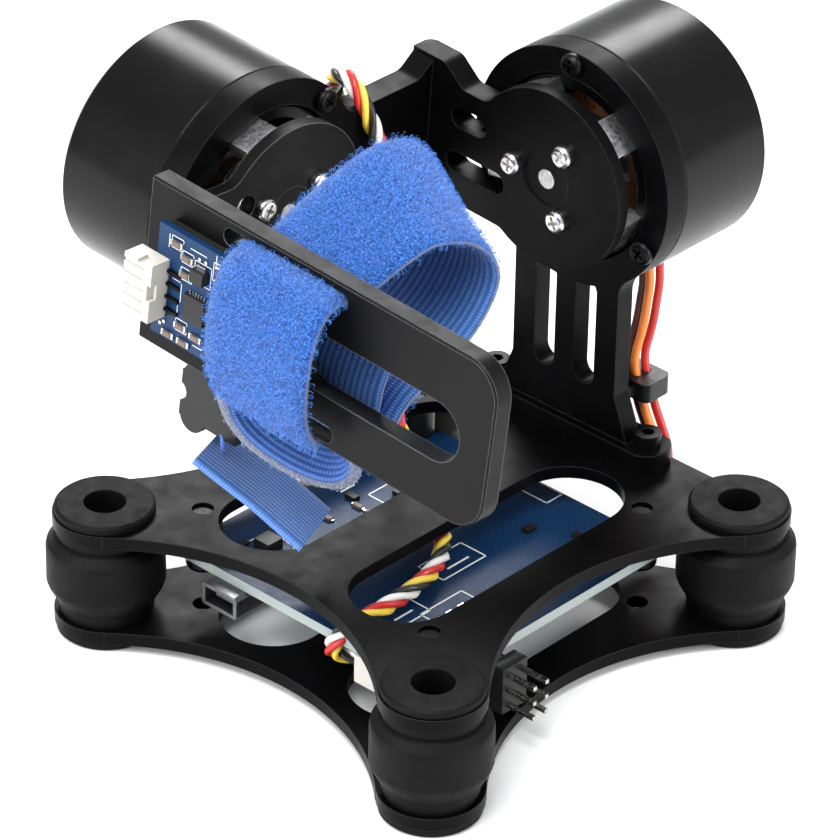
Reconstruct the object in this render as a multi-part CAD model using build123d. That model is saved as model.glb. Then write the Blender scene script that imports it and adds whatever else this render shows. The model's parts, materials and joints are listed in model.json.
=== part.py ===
"""Two-axis brushless camera gimbal on four rubber isolators.

Millimetres, +Z up. The origin is the centre of the base plate's hole pattern,
on the plate's underside. +X runs along the roll axis towards the roll motor's
closed end, and +Y along the pitch axis towards the pitch motor's closed end.
The arm rests rolled by ROLL_REST and the camera tray tilted by TRAY_REST.
"""
from build123d import *
from math import cos, radians, sin
import os

# Plates and isolators
PLATE_T = 2.0
PLATE_GAP = 14.5
TOP_Z = 2 * PLATE_T + PLATE_GAP
DAMPER_XY = 32.5
LOBE_R = 7.7
SIDE_ARC_R = 40.0
SIDE_ARC_CENTRE = 67.5
STRAIGHT_SIDE_X = 36.0
SLOT_LENGTH = 51.0
SLOT_WIDTH = 16.0
SLOT_Y = 13.0
BOARD_HOLE_XY = 22.5
BOARD_HOLE_R = 1.6
DAMPER_HOLE_R = 5.1
DAMPER_BORE_R = 3.1

# Motors, measured from the front face of the disc that each rotor turns
DISC_R = 14.0
DISC_T = 2.0
RING_FRONT = 5.5
RING_T = 4.0
RING_BORE_R = 14.4
MOTOR_R = 18.5
MOTOR_LENGTH = 27.8
CUP_BORE_R = 14.6
CUP_END_T = 2.2
BELL_R = 13.9
BELL_WALL = 1.0
STATOR_R = 11.0
STATOR_FRONT = 12.6
STATOR_T = 8.0
TEETH = 12
POLES = 14
SPOKES = 5
SPOKE_WIDTH = 6.0
SHAFT_R = 1.5
HUB_SCREW_CIRCLE = 6.3
RING_SCREW_CIRCLE = 16.6

# Axes
ROLL_Z = TOP_Z + 44.7
ROLL_DISC_X = 24.5
PITCH_X = -10.0
PITCH_DISC_Y = 17.4
ROLL_REST = 3.8
TRAY_REST = 3.6

# Roll bracket
BRACKET_T = 3.2
LEG_WIDTH = 20.0
LEG_SLOT_WIDTH = 4.0
LEG_SLOT_Y = 3.9
FOOT_T = 3.2
FOOT_SCREW_Y = 15.0

# Arm
WEB_TOP = 7.3
WEB_BOTTOM = -11.7
HUMP_TOP = 10.3
ROLL_CREST = 6.3
PITCH_CREST = 2.8
WEB_T = 3.8

# Camera tray, from the pitch axis
TRAY_FACE = -23.5
TRAY_T = 3.0
TRAY_TOP = 11.8
TRAY_LOW = -14.0
TRAY_END_Y = -42.6
TRAY_START_Y = 22.2
STRAP_SLOTS_Z = (9.2, -11.8)
STRAP_SLOT_HEIGHT = 2.6
STRAP_SLOT_Y0 = -15.2
STRAP_SLOT_Y1 = 8.2
NECK_HALF = 9.0
CENTRE_SLOT_Z = -1.7
CENTRE_SLOT_HEIGHT = 9.0
CENTRE_SLOT_Y0 = -37.2
CENTRE_SLOT_Y1 = -7.2

# Strap
STRAP_WIDTH = 20.0
STRAP_T = 1.5
STRAP_Y = -4.6
TAIL_LENGTH = 19.0
TAIL_WIDTH = 14.0

# Controller board
BOARD_SIZE = 50.0
BOARD_T = 1.6
BOARD_TOP = TOP_Z - 6.5
PIN_PITCH = 2.54

ROLL_AXIS = Axis((0, 0, ROLL_Z), (1, 0, 0))
PITCH_AXIS = Axis((PITCH_X, 0, ROLL_Z), (0, 1, 0))
ROLL_MOTOR = Plane(origin=(ROLL_DISC_X, 0, ROLL_Z), x_dir=(0, 1, 0), z_dir=(1, 0, 0))
PITCH_MOTOR = Plane(origin=(PITCH_X, PITCH_DISC_Y, ROLL_Z), x_dir=(0, 0, 1), z_dir=(0, 1, 0))

nodes = {}


def arm_pose(shape):
    """Turn a piece of the arm from level to its rest roll."""
    return shape.rotate(ROLL_AXIS, ROLL_REST)


def tray_pose(shape):
    """Turn a piece of the tray from upright to its rest tilt and roll."""
    return arm_pose(shape.rotate(PITCH_AXIS, TRAY_REST))


def tube(r_out, r_in, z0, z1):
    """A ring about local Z."""
    return extrude(Pos(0, 0, z0) * (Circle(r_out) - Circle(r_in)), z1 - z0)


def rod(r, z0, z1):
    """A solid cylinder about local Z."""
    return extrude(Pos(0, 0, z0) * Circle(r), z1 - z0)


def around(shape, radius, angles):
    """Copies of a shape on a circle about local Z."""
    return [Rot(0, 0, a) * Pos(radius, 0, 0) * shape for a in angles]


def box_between(low, high):
    """A box from its lowest corner to its highest."""
    size = [b - a for a, b in zip(low, high)]
    return Pos(*low) * Box(*size, align=(Align.MIN, Align.MIN, Align.MIN))


def slab_x(face, x0, x1):
    """A profile drawn in (Y, Z), as a plate from x0 to x1."""
    return extrude(Plane(origin=(x0, 0, 0), x_dir=(0, 1, 0), z_dir=(1, 0, 0)) * face, x1 - x0)


def slab_y(face, y0, y1):
    """A profile drawn in (X, Z), as a plate from y0 to y1."""
    return extrude(Plane(origin=(0, y1, 0), x_dir=(1, 0, 0), z_dir=(0, -1, 0)) * face, y1 - y0)


def rounded(face, picks, radius):
    """Round the face's corners nearest to the given points."""
    corners = [face.vertices().sort_by_distance(Vector(*p, 0))[0] for p in picks]
    return fillet(corners, radius)


def quarter_angles(phase, count=3):
    """Evenly spaced angles that start at phase."""
    return [phase + i * 360 / count for i in range(count)]


# ---------------------------------------------------------------- plates
def plate_outline(straight_side):
    """X-shaped plate: round lobes joined by tangent concave sides."""
    reach = LOBE_R / (LOBE_R + SIDE_ARC_R)
    near = DAMPER_XY * (1 - reach)
    far = DAMPER_XY + (SIDE_ARC_CENTRE - DAMPER_XY) * reach
    points = []
    for sx, sy in ((1, 1), (-1, 1), (-1, -1), (1, -1)):
        first, second = (near, far), (far, near)
        if sx * sy > 0:
            first, second = second, first
        points += [(sx * first[0], sy * first[1]), (sx * second[0], sy * second[1])]
    body = make_face(Polyline(*points, close=True))
    for sx in (-1, 1):
        for sy in (-1, 1):
            body += Pos(sx * DAMPER_XY, sy * DAMPER_XY) * Circle(LOBE_R)
    for cx, cy in ((-1, 0), (0, 1), (0, -1)):
        body -= Pos(cx * SIDE_ARC_CENTRE, cy * SIDE_ARC_CENTRE) * Circle(SIDE_ARC_R)
    if straight_side:
        body -= Pos(STRAIGHT_SIDE_X + 10, 0) * Rectangle(20, 2 * (DAMPER_XY - LOBE_R + 1.0))
    else:
        body -= Pos(SIDE_ARC_CENTRE, 0) * Circle(SIDE_ARC_R)
    return body


def isolator_plate(straight_side):
    face = plate_outline(straight_side)
    for sy in (-1, 1):
        face -= Pos(0, sy * SLOT_Y) * SlotOverall(SLOT_LENGTH, SLOT_WIDTH)
    for sx in (-1, 1):
        for sy in (-1, 1):
            face -= Pos(sx * DAMPER_XY, sy * DAMPER_XY) * Circle(DAMPER_HOLE_R)
            face -= Pos(sx * BOARD_HOLE_XY, sy * BOARD_HOLE_XY) * Circle(BOARD_HOLE_R)
    return extrude(face, PLATE_T)


def damper():
    """Hollow rubber isolator: flange, neck, bulged body, neck, flange."""
    top = TOP_Z
    low = PLATE_T
    neck = DAMPER_HOLE_R - 0.1
    outer = [
        (DAMPER_BORE_R, top + 1.25), (7.0, top + 1.25), (7.4, top + 0.9), (7.4, top + 0.03),
        (neck, top + 0.03), (neck, top - 2.03), (7.2, top - 2.03), (7.2, top - 3.4),
        (6.8, top - 3.7), (7.6, top - 4.1), (8.6, top - 5.2), (8.75, top - 5.9),
        (8.75, top - 11.4), (8.5, top - 12.2), (7.2, top - 14.6), (6.9, low),
        (neck, low), (neck, 0), (7.4, 0), (7.4, -1.1), (7.0, -1.5), (DAMPER_BORE_R, -1.5),
    ]
    inner = [
        (DAMPER_BORE_R, low + 1.0), (5.8, low + 3.4), (6.7, low + 5.5),
        (6.7, top - 6.2), (5.6, top - 4.4), (DAMPER_BORE_R, top - 2.6),
    ]
    section = make_face(Polyline(*[(r, 0, z) for r, z in outer + inner], close=True))
    return revolve(section, Axis.Z)


nodes["base_plate"] = isolator_plate(straight_side=False)
CORNERS = {"front_left": (-1, 1), "front_right": (-1, -1), "rear_right": (1, -1), "rear_left": (1, 1)}
for corner, (sx, sy) in CORNERS.items():
    nodes["damper_" + corner] = Pos(sx * DAMPER_XY, sy * DAMPER_XY, 0) * damper()

top_plate = Pos(0, 0, TOP_Z - PLATE_T) * isolator_plate(straight_side=True)
for sy in (-1, 1):
    top_plate -= Pos(32.2, sy * FOOT_SCREW_Y, TOP_Z - PLATE_T) * rod(1.25, 0, PLATE_T)
nodes["top_plate"] = top_plate


# ---------------------------------------------------------------- fasteners
def pan_screw(head_r, head_h, shank_r, length, recess):
    """Cross-recess pan screw: head below local Z = 0, shank above it."""
    head = fillet(rod(head_r, -head_h, 0).edges().sort_by(Axis.Z)[0], head_h * 0.55)
    cross = Box(recess, recess * 0.22, head_h) + Box(recess * 0.22, recess, head_h)
    return head - Pos(0, 0, -head_h) * cross + rod(shank_r, 0, length)


def cap_screw(head_r, head_h, shank_r, length):
    """Socket cap screw standing on local Z = 0, with its shank below."""
    socket = extrude(Pos(0, 0, head_h * 0.4) * RegularPolygon(head_r * 0.5, 6), head_h)
    return rod(head_r, 0, head_h) - socket + rod(shank_r, -length, 0)


def group(solids):
    return Compound(children=list(solids))


# ---------------------------------------------------------------- motors
def stator_core():
    teeth = Circle(6.3)
    for a in quarter_angles(0, TEETH):
        teeth += Rot(0, 0, a) * Pos(7.7, 0) * Rectangle(5.0, 2.0)
        shoe = (Circle(STATOR_R) - Circle(STATOR_R - 1.1)) & (Pos(10, 0) * Rectangle(5, 4.7))
        teeth += Rot(0, 0, a) * shoe
    teeth -= Circle(4.45)
    return extrude(Pos(0, 0, STATOR_FRONT) * teeth, STATOR_T)


def coils(core):
    """One wound coil round each tooth."""
    wedge = make_face(Polyline((6.5, -1.6), (9.5, -2.3), (9.5, 2.3), (6.5, 1.6), close=True))
    coil = extrude(Pos(0, 0, STATOR_FRONT - 1.7) * wedge, STATOR_T + 3.4)
    coil = fillet(coil.edges().filter_by(GeomType.LINE).group_by(SortBy.LENGTH)[-1], 0.6)
    coil -= box_between((6.0, -1.02, STATOR_FRONT - 0.02), (10.5, 1.02, STATOR_FRONT + STATOR_T + 0.02))
    return [Rot(0, 0, a) * coil for a in quarter_angles(0, TEETH)]


def bell():
    """Rotor can with an inward lip at its front."""
    shell_front = RING_FRONT + 0.6
    return tube(BELL_R, BELL_R - BELL_WALL, shell_front, 22.5) + tube(BELL_R, 12.2, shell_front, shell_front + 1.1)


def spider(hub_angles, spoke_phase):
    """Front hub with five spokes, which carries the rotor can on the disc."""
    part = rod(9.0, DISC_T, DISC_T + 1.4) + rod(3.6, DISC_T, 8.9)
    for a in quarter_angles(spoke_phase, SPOKES):
        part += extrude(Pos(0, 0, DISC_T) * Rot(0, 0, a) * Pos(8.5, 0) * Rectangle(9.0, SPOKE_WIDTH), 1.4)
        foot = extrude(Pos(0, 0, DISC_T) * Rot(0, 0, a) * Pos(12.2, 0) * Rectangle(2.2, SPOKE_WIDTH),
                       RING_FRONT + 0.6 - DISC_T)
        part += foot
    part &= rod(BELL_R - 0.3, DISC_T, 10)
    part -= rod(SHAFT_R + 0.02, 0, 9)
    for hole in around(rod(1.05, DISC_T - 0.5, DISC_T + 2), HUB_SCREW_CIRCLE, hub_angles):
        part -= hole
    return part


def magnets():
    ring = tube(BELL_R - BELL_WALL - 0.02, 11.5, STATOR_FRONT - 1.0, STATOR_FRONT + STATOR_T + 1.0)
    for a in quarter_angles(0, POLES):
        ring -= Rot(0, 0, a) * Pos(12, 0, STATOR_FRONT + 4) * Box(4, 0.7, 14)
    return ring


def motor_parts(hub_phase, ring_phase, spoke_phase):
    """Every piece of one motor about local Z, from the disc's front face."""
    hub_angles = quarter_angles(hub_phase)
    ring_angles = quarter_angles(ring_phase)
    cup_front = RING_FRONT + RING_T
    cup = tube(MOTOR_R, CUP_BORE_R, cup_front, MOTOR_LENGTH) + rod(MOTOR_R, MOTOR_LENGTH - CUP_END_T, MOTOR_LENGTH)
    outer = cup.edges().filter_by(GeomType.CIRCLE).group_by(SortBy.RADIUS)[-1].sort_by(Axis.Z)
    cup = chamfer(outer[-1], 0.9)
    cup = chamfer(cup.edges().filter_by(GeomType.CIRCLE).group_by(SortBy.RADIUS)[-1].sort_by(Axis.Z)[0], 0.3)
    for hole in around(rod(1.1, cup_front - 1, cup_front + 7), RING_SCREW_CIRCLE, ring_angles):
        cup -= hole
    mount = rod(8.5, MOTOR_LENGTH - CUP_END_T - 1.6, MOTOR_LENGTH - CUP_END_T)
    mount += rod(4.4, cup_front + 0.2, MOTOR_LENGTH - CUP_END_T)
    mount -= rod(3.0, 0, MOTOR_LENGTH - CUP_END_T - 1.6)
    core = stator_core()
    bearing = tube(2.98, SHAFT_R + 0.03, 0, 2.5)
    hub_screw = pan_screw(1.75, 1.2, 1.0, DISC_T + 1.0, 2.0)
    ring_screw = Pos(0, 0, RING_FRONT) * pan_screw(1.85, 1.3, 1.05, RING_T + 6, 2.1)
    return {
        "cup": cup,
        "ring_screws": group(around(ring_screw, RING_SCREW_CIRCLE, ring_angles)),
        "stator_mount": mount,
        "bearings": group([Pos(0, 0, z) * bearing for z in (cup_front + 0.4, 21.2)]),
        "stator": core,
        "windings": group(coils(core)),
        "bell": bell(),
        "spider": spider(hub_angles, spoke_phase),
        "magnets": magnets(),
        "shaft": rod(SHAFT_R, 0.25, 23.9),
        "hub_screws": group(around(hub_screw, HUB_SCREW_CIRCLE, hub_angles)),
    }


def disc_holes(hub_phase):
    """Cuts in the disc that carries a rotor: recess, shaft hole and screw holes."""
    cuts = rod(4.3, -0.1, 0.35) + rod(SHAFT_R + 0.05, -0.1, DISC_T + 0.1)
    for hole in around(rod(1.05, -0.1, DISC_T + 0.1), HUB_SCREW_CIRCLE, quarter_angles(hub_phase)):
        cuts += hole
    return cuts


def ring_cuts(ring_phase):
    """Cuts in the ring plate that carries a motor's cup."""
    cuts = rod(RING_BORE_R, RING_FRONT - 0.1, RING_FRONT + RING_T + 0.1)
    holes = around(rod(1.1, RING_FRONT - 0.1, RING_FRONT + RING_T + 0.1), RING_SCREW_CIRCLE,
                   quarter_angles(ring_phase))
    for hole in holes:
        cuts += hole
    return cuts


ROLL_HUB_PHASE = 0
ROLL_RING_PHASE = 90
PITCH_HUB_PHASE = 57
PITCH_RING_PHASE = 44
ROLL_SPOKE_PHASE = 60
PITCH_SPOKE_PHASE = 51
FIXED_PIECES = ("cup", "ring_screws", "stator_mount", "bearings", "stator", "windings")

roll_motor = motor_parts(ROLL_HUB_PHASE, ROLL_RING_PHASE, ROLL_SPOKE_PHASE)
for piece, shape in roll_motor.items():
    placed = ROLL_MOTOR.location * shape
    nodes["roll_" + piece] = placed if piece in FIXED_PIECES else arm_pose(placed)

pitch_motor = motor_parts(PITCH_HUB_PHASE, PITCH_RING_PHASE, PITCH_SPOKE_PHASE)
for piece, shape in pitch_motor.items():
    placed = PITCH_MOTOR.location * shape
    nodes["pitch_" + piece] = arm_pose(placed) if piece in FIXED_PIECES else tray_pose(placed)


# ---------------------------------------------------------------- roll bracket
def roll_bracket():
    ring_x = ROLL_DISC_X + RING_FRONT
    half = LEG_WIDTH / 2
    leg = make_face(Polyline(
        (-half, ROLL_Z - 8), (-half, TOP_Z + 10), (-half - 3.2, TOP_Z + 2), (half + 3.2, TOP_Z + 2),
        (half, TOP_Z + 10), (half, ROLL_Z - 8), close=True))
    leg += Pos(0, ROLL_Z) * Circle(MOTOR_R)
    joints = [v for v in leg.vertices() if TOP_Z + 20 < v.Y < ROLL_Z - 10]
    leg = fillet(joints, 4.0)
    slot_low = TOP_Z + 10.0
    slot_high = TOP_Z + 27.8
    for sy in (-1, 1):
        slot = Rot(0, 0, 90) * SlotOverall(slot_high - slot_low, LEG_SLOT_WIDTH)
        leg -= Pos(sy * LEG_SLOT_Y, (slot_low + slot_high) / 2) * slot
    part = slab_x(leg, ring_x, ring_x + BRACKET_T)
    ring = slab_x(Pos(0, ROLL_Z) * Circle(MOTOR_R), ring_x, ring_x + RING_T)
    foot = box_between((28.6, -18.2, TOP_Z), (STRAIGHT_SIDE_X - 0.2, 18.2, TOP_Z + FOOT_T))
    foot = fillet(foot.edges().filter_by(Axis.Z), 3.0)
    part = part + ring + foot
    for sy in (-1, 1):
        part -= Pos(32.2, sy * FOOT_SCREW_Y, TOP_Z) * rod(1.3, -0.1, FOOT_T + 0.1)
    return part - ROLL_MOTOR.location * ring_cuts(ROLL_RING_PHASE)


nodes["roll_bracket"] = roll_bracket()
foot_screw = Pos(32.2, 0, TOP_Z + FOOT_T) * cap_screw(2.0, 2.2, 1.2, FOOT_T + 1.9)
nodes["foot_screws"] = group([Pos(0, sy * FOOT_SCREW_Y, 0) * foot_screw for sy in (-1, 1)])


# ---------------------------------------------------------------- arm
def humped_web(start, corner, crest):
    """Web of one leg of the arm, drawn along (distance, Z), raised at the corner."""
    low = ROLL_Z + WEB_BOTTOM
    high = ROLL_Z + WEB_TOP
    top = ROLL_Z + HUMP_TOP
    face = make_face(Polyline(
        (start, low), (corner, low), (corner, top), (corner - crest, top),
        (corner - crest - 3.8, high), (start, high), close=True))
    return rounded(face, [(corner - crest, top), (corner - crest - 3.8, high)], 2.2)


def cross_arm():
    """One-piece L: the roll disc on one leg and the pitch motor's ring on the other."""
    ring_y = PITCH_DISC_Y + RING_FRONT
    outer_x = ROLL_DISC_X + WEB_T
    outer_y = ring_y + RING_T
    outline = humped_web(0.0, outer_y, ROLL_CREST) + Pos(0, ROLL_Z) * Circle(DISC_R)
    outline = fillet([v for v in outline.vertices() if 7 < v.X < 12.5], 2.5)
    roll_side = slab_x(outline, ROLL_DISC_X, outer_x)
    roll_side -= ROLL_MOTOR.location * rod(DISC_R + 0.6, DISC_T, 8)
    slots = Pos(15.2, ROLL_Z + 2.6) * SlotOverall(6.8, 3.4) + Pos(13.3, ROLL_Z - 4.9) * SlotOverall(11.4, 3.4)
    roll_side -= slab_x(slots, ROLL_DISC_X - 1, outer_x + 1)
    roll_side -= ROLL_MOTOR.location * disc_holes(ROLL_HUB_PHASE)

    profile = humped_web(PITCH_X + 10, outer_x, PITCH_CREST)
    profile += Pos(PITCH_X, ROLL_Z) * Circle(MOTOR_R)
    joints = [v for v in profile.vertices() if 2 < v.X < 10]
    profile = fillet(joints, 3.0)
    pitch_side = slab_y(profile, ring_y, outer_y) - PITCH_MOTOR.location * ring_cuts(PITCH_RING_PHASE)
    part = roll_side + pitch_side
    upright = part.edges().filter_by(Axis.Z)
    corner = [e for e in upright if e.center().X > outer_x - 0.1 and e.center().Y > outer_y - 0.1]
    return fillet(corner, 1.6)


nodes["cross_arm"] = arm_pose(cross_arm())


# ---------------------------------------------------------------- camera tray
def camera_tray():
    face_x = PITCH_X + TRAY_FACE
    back_x = face_x + TRAY_T
    middle = ROLL_Z + (TRAY_TOP + TRAY_LOW) / 2
    plate = Pos((TRAY_END_Y + TRAY_START_Y) / 2, middle) * Rectangle(
        TRAY_START_Y - TRAY_END_Y, TRAY_TOP - TRAY_LOW)
    plate = rounded(plate, [(TRAY_END_Y, ROLL_Z + z) for z in (TRAY_TOP, TRAY_LOW)], 5.5)
    strap_y = (STRAP_SLOT_Y0 + STRAP_SLOT_Y1) / 2
    for slot_z in STRAP_SLOTS_Z:
        plate -= Pos(strap_y, ROLL_Z + slot_z) * SlotOverall(STRAP_SLOT_Y1 - STRAP_SLOT_Y0, STRAP_SLOT_HEIGHT)
    centre_y = (CENTRE_SLOT_Y0 + CENTRE_SLOT_Y1) / 2
    plate -= Pos(centre_y, ROLL_Z + CENTRE_SLOT_Z) * SlotOverall(
        CENTRE_SLOT_Y1 - CENTRE_SLOT_Y0, CENTRE_SLOT_HEIGHT)
    part = slab_x(plate, face_x, back_x)
    rim = part.edges().filter_by(GeomType.LINE).filter_by(Axis.Y).group_by(Axis.X)[0]
    part = chamfer([e for e in rim if e.length > 40], 0.3)

    cheek = Pos((back_x + PITCH_X) / 2 - 0.5, ROLL_Z - 0.8) * Rectangle(PITCH_X - back_x + 1, 2 * NECK_HALF)
    cheek += Pos(PITCH_X, ROLL_Z) * Circle(DISC_R)
    joints = [v for v in cheek.vertices() if back_x + 4 < v.X < PITCH_X]
    cheek = fillet(joints, 3.2)
    cheek -= Pos(PITCH_X - 9.4, ROLL_Z + 4.2) * Circle(1.9)
    part += slab_y(cheek, PITCH_DISC_Y, PITCH_DISC_Y + DISC_T)
    return part - PITCH_MOTOR.location * disc_holes(PITCH_HUB_PHASE)


nodes["camera_tray"] = tray_pose(camera_tray())


# ---------------------------------------------------------------- strap
def ribbon(points, radii, section_plane, width):
    """A flat band along a rounded path."""
    path = FilletPolyline(*points, radius=radii)
    return sweep(section_plane * Rectangle(STRAP_T, width), path=path)


def on_tray(x, z):
    """A point of the strap's path, given from the pitch axis in the tray's own plane."""
    return (PITCH_X + x, STRAP_Y, ROLL_Z + z)


def corner_radii(points, most):
    """The largest even radius that each corner of a path has room for."""
    radii = []
    for a, b, c in zip(points, points[1:], points[2:]):
        before, after = Vector(*b) - Vector(*a), Vector(*c) - Vector(*b)
        turn = radians(before.get_angle(after))
        room = 0.45 * min(before.length, after.length) * cos(turn / 2) / max(sin(turn / 2), 1e-3)
        radii.append(min(room, most))
    return radii


def camera_strap():
    """Front band, upper slot, rear loop, run behind the tray and hanging end."""
    path = [
        (-27.2, -11.6), (-31.2, -1.0), (-29.8, 7.6), (-25.2, 9.2), (-19.2, 9.2), (-15.4, 12.2), (-11.8, 17.8),
        (-3.0, 17.0), (0.6, 9.4), (-3.6, 1.2), (-11.6, -4.4), (-17.6, -8.0), (-18.4, -14.0), (-18.2, -22.0),
        (-23.4, -25.6), (-28.4, -21.0), (-27.6, -15.6),
    ]
    points = [on_tray(x, z) for x, z in path]
    first = Vector(*points[1]) - Vector(*points[0])
    start = Plane(origin=points[0], x_dir=first.cross(Vector(0, 1, 0)), z_dir=first)
    return ribbon(points, corner_radii(points, 9.0), start, STRAP_WIDTH)


def strap_tail():
    """The strap's cut end, lying slanted below the front of the tray."""
    length = Vector(0.30, -0.79, -0.54).normalized()
    across = Vector(-0.79, -0.52, 0.31)
    across = (across - length * across.dot(length)).normalized()
    flat = Plane(origin=(-28.6, 4.5, TOP_Z + 14.5), x_dir=length, z_dir=length.cross(across))
    return flat.location * Box(TAIL_LENGTH, TAIL_WIDTH, STRAP_T)


def strap_keeper():
    """Moulded end piece on the strap's edge: two rounded bars and a waist."""
    edge = STRAP_Y + STRAP_WIDTH / 2
    face = Pos(edge + 5.6, ROLL_Z - 21.4) * Rectangle(11.2, 7.4)
    for dz in (-3.1, 3.1):
        face += Pos(edge + 8.6, ROLL_Z - 21.4 + dz) * Circle(2.4)
    face = face - Pos(edge + 11.6, ROLL_Z - 21.4) * Circle(1.5)
    return slab_x(face, PITCH_X - 19.9, PITCH_X - 16.7)


nodes["camera_strap"] = tray_pose(camera_strap())
nodes["strap_tail"] = strap_tail()
nodes["strap_keeper"] = tray_pose(strap_keeper())


# ---------------------------------------------------------------- tilt sensor on the tray
SENSOR_X = PITCH_X + TRAY_FACE
SENSOR_Y = (4.4, 17.7)
SENSOR_Z = (ROLL_Z - 9.6, ROLL_Z + 7.6)
PAD_T = 1.6
SENSOR_T = 1.0
SENSOR_FACE = SENSOR_X - PAD_T - SENSOR_T

pad = box_between((SENSOR_X - PAD_T, SENSOR_Y[0] + 0.4, SENSOR_Z[0] + 0.4),
                  (SENSOR_X, SENSOR_Y[1] - 0.4, SENSOR_Z[1] - 0.4))
sensor_board = box_between((SENSOR_FACE, SENSOR_Y[0], SENSOR_Z[0]), (SENSOR_X - PAD_T, SENSOR_Y[1], SENSOR_Z[1]))


def surface_chip(y, z, width, height, thick):
    """A chip on the sensor board's face, from its middle."""
    low = (SENSOR_FACE - thick, y - width / 2, ROLL_Z + z - height / 2)
    return box_between(low, (SENSOR_FACE, y + width / 2, ROLL_Z + z + height / 2))


SENSOR_CHIPS = [
    (9.4, -2.4, 4.2, 4.2, 0.9), (9.0, 3.1, 2.6, 1.4, 1.0), (12.0, 3.8, 1.4, 1.0, 0.6),
    (12.0, 1.4, 1.3, 0.9, 0.5), (9.2, 1.0, 1.6, 0.8, 0.5), (11.9, -6.4, 1.6, 0.9, 0.5),
    (9.0, -6.8, 1.7, 0.9, 0.5), (6.6, 1.2, 0.9, 1.7, 0.5),
]
connector = box_between((SENSOR_FACE - 3.4, 15.2, ROLL_Z - 6.4), (SENSOR_FACE, 20.6, ROLL_Z + 2.7))
mouth = box_between((SENSOR_FACE - 2.6, 17.0, ROLL_Z - 5.6), (SENSOR_FACE - 0.6, 20.7, ROLL_Z + 1.9))
connector_cuts = [mouth]
for i in range(5):
    z = ROLL_Z - 5.2 + 1.7 * i
    connector_cuts.append(box_between((SENSOR_FACE - 3.5, 16.6, z - 0.3), (SENSOR_FACE - 3.1, 20.7, z + 0.3)))
connector_cuts.append(box_between((SENSOR_FACE - 3.5, 15.1, ROLL_Z - 3.0), (SENSOR_FACE - 2.2, 15.9, ROLL_Z - 0.6)))
connector_cuts.append(box_between((SENSOR_FACE - 3.5, 16.9, ROLL_Z + 2.2), (SENSOR_FACE - 1.6, 18.0, ROLL_Z + 2.8)))
nodes["sensor_pad"] = tray_pose(pad)
nodes["sensor_board"] = tray_pose(sensor_board)
nodes["sensor_chips"] = group([tray_pose(surface_chip(*chip)) for chip in SENSOR_CHIPS])
nodes["sensor_connector"] = tray_pose(connector - connector_cuts)

sensor_pins = []
for i in range(4):
    z = ROLL_Z - 4.9 + 2.0 * i
    inside = box_between((SENSOR_FACE - 1.8, 17.0, z - 0.25), (SENSOR_FACE - 1.3, 20.0, z + 0.25))
    foot = box_between((SENSOR_FACE - 0.5, 12.8, z - 0.25), (SENSOR_FACE, 15.2, z + 0.25))
    sensor_pins += [inside, foot]
nodes["sensor_pins"] = group([tray_pose(pin) for pin in sensor_pins])


# ---------------------------------------------------------------- controller board
BOARD_LOW = BOARD_TOP - BOARD_T
board = box_between((-BOARD_SIZE / 2, -BOARD_SIZE / 2, BOARD_LOW), (BOARD_SIZE / 2, BOARD_SIZE / 2, BOARD_TOP))
spacers = []
board_screws = []
for sx in (-1, 1):
    for sy in (-1, 1):
        at = Pos(sx * BOARD_HOLE_XY, sy * BOARD_HOLE_XY, 0)
        board -= at * rod(BOARD_HOLE_R, BOARD_LOW - 1, BOARD_TOP + 1)
        spacers.append(at * tube(2.9, BOARD_HOLE_R, BOARD_TOP, TOP_Z - PLATE_T))
        screw = Pos(0, 0, BOARD_LOW) * pan_screw(2.6, 1.8, 1.5, TOP_Z - 0.5 - BOARD_LOW, 2.8)
        board_screws.append(at * screw)
nodes["controller_board"] = board
nodes["board_spacers"] = group(spacers)
nodes["board_screws"] = group(board_screws)

UNDER_CHIPS = [
    (2.0, 2.0, 7.0, 7.0, 1.2), (-10.0, 4.0, 4.0, 4.0, 0.9), (12.0, -10.0, 5.0, 5.0, 0.9),
    (12.0, 8.0, 5.0, 5.0, 0.9), (-2.0, -10.0, 3.2, 1.6, 1.0), (16.0, -1.0, 3.2, 1.6, 1.0),
]
TOP_CHIPS = [
    (14.0, -8.4, 2.0, 1.2, 0.7), (17.6, -15.0, 1.2, 2.0, 0.7), (-16.0, 15.6, 3.0, 3.0, 1.6),
    (8.0, 12.0, 2.0, 1.2, 0.7), (2.0, 16.0, 1.2, 2.0, 0.7),
]
chips = []
for x, y, w, d, h in UNDER_CHIPS:
    chips.append(box_between((x - w / 2, y - d / 2, BOARD_LOW - h), (x + w / 2, y + d / 2, BOARD_LOW)))
for x, y, w, d, h in TOP_CHIPS:
    chips.append(box_between((x - w / 2, y - d / 2, BOARD_TOP), (x + w / 2, y + d / 2, BOARD_TOP + h)))
nodes["board_chips"] = group(chips)
nodes["board_capacitor"] = Pos(-2, 17, 0) * rod(2.5, BOARD_LOW - 5.2, BOARD_LOW)

usb = box_between((-27.4, 10.8, BOARD_LOW - 3.7), (-18.2, 17.9, BOARD_LOW))
usb = fillet(usb.edges().filter_by(Axis.X), 0.7)
usb -= box_between((-28, 11.5, BOARD_LOW - 3.1), (-19.6, 17.2, BOARD_LOW - 0.6))
usb += box_between((-26.2, 12.6, BOARD_LOW - 2.2), (-19.6, 16.1, BOARD_LOW - 1.5))
nodes["usb_port"] = usb

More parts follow.
